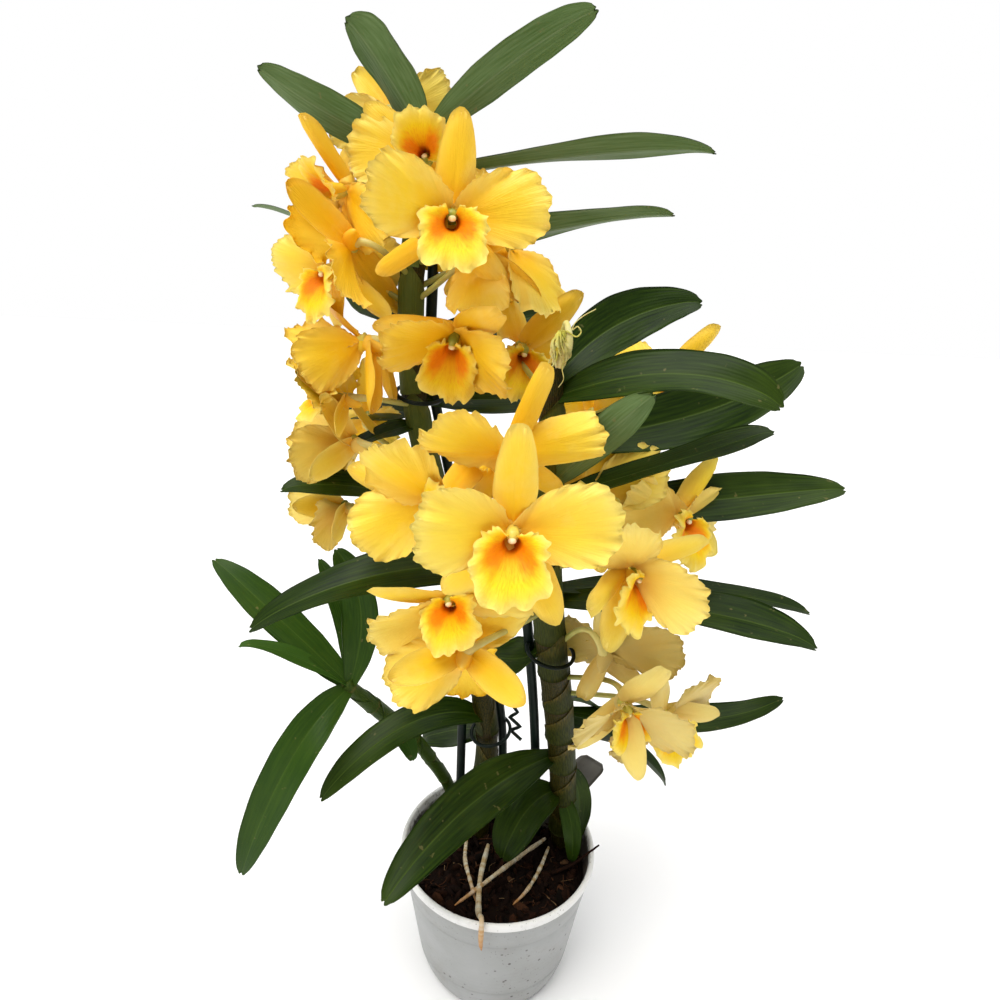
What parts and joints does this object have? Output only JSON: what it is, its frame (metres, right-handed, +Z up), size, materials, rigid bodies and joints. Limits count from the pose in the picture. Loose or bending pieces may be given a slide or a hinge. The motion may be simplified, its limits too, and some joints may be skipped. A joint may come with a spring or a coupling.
{
  "type": "potted dendrobium orchid",
  "caption": "Potted dendrobium orchid: upright leafy canes with ruffled trumpet-lipped blooms, stakes and aerial roots in a tapered grower's pot.",
  "frame": {"origin": "middle of the pot's underside", "axes": "+Z up along the pot's axis, -Y the front that most blooms face, +X to the right seen from the front"},
  "size_m": [0.3491, 0.202, 0.5318],
  "materials": {
    "pot_plastic": "satin white plastic with dirt specks",
    "bark": "damp dark bark and fibre",
    "foliage": "glossy dark green leaves on olive canes",
    "petal": "soft yellow petals with golden centres and orange lip",
    "dry_petal": "withered translucent petal",
    "root": "matt cream root",
    "dark_plastic": "dark green plastic",
    "label_plastic": "plain grey, no print"
  },
  "bodies": {
    "root": {"pot": "pot_plastic", "substrate": "bark", "leafy_front": "foliage", "leafy_back": "foliage", "leafy_shoot": "foliage", "root_front": "root", "root_left": "root", "root_right": "root", "stake_1": "dark_plastic", "stake_2": "dark_plastic", "stake_3": "dark_plastic", "clip_1": "dark_plastic", "clip_2": "dark_plastic", "clip_3": "dark_plastic", "clip_teeth": "dark_plastic", "plant_label": "label_plastic", "withered_bloom": "dry_petal", "bloom_01": "petal", "bloom_02": "petal", "bloom_03": "petal", "bloom_04": "petal", "bloom_05": "petal", "bloom_06": "petal", "bloom_07": "petal", "bloom_08": "petal", "bloom_09": "petal", "bloom_10": "petal", "bloom_11": "petal", "bloom_12": "petal", "bloom_13": "petal", "bloom_14": "petal", "bloom_15": "petal", "bloom_16": "petal", "bloom_17": "petal", "bloom_18": "petal", "bloom_19": "petal", "bloom_20": "petal", "bloom_21": "petal", "bloom_22": "petal", "bloom_23": "petal", "bloom_24": "petal", "bloom_25": "petal", "bloom_26": "petal", "bloom_27": "petal", "bloom_28": "petal"}
  },
  "joints": []
}
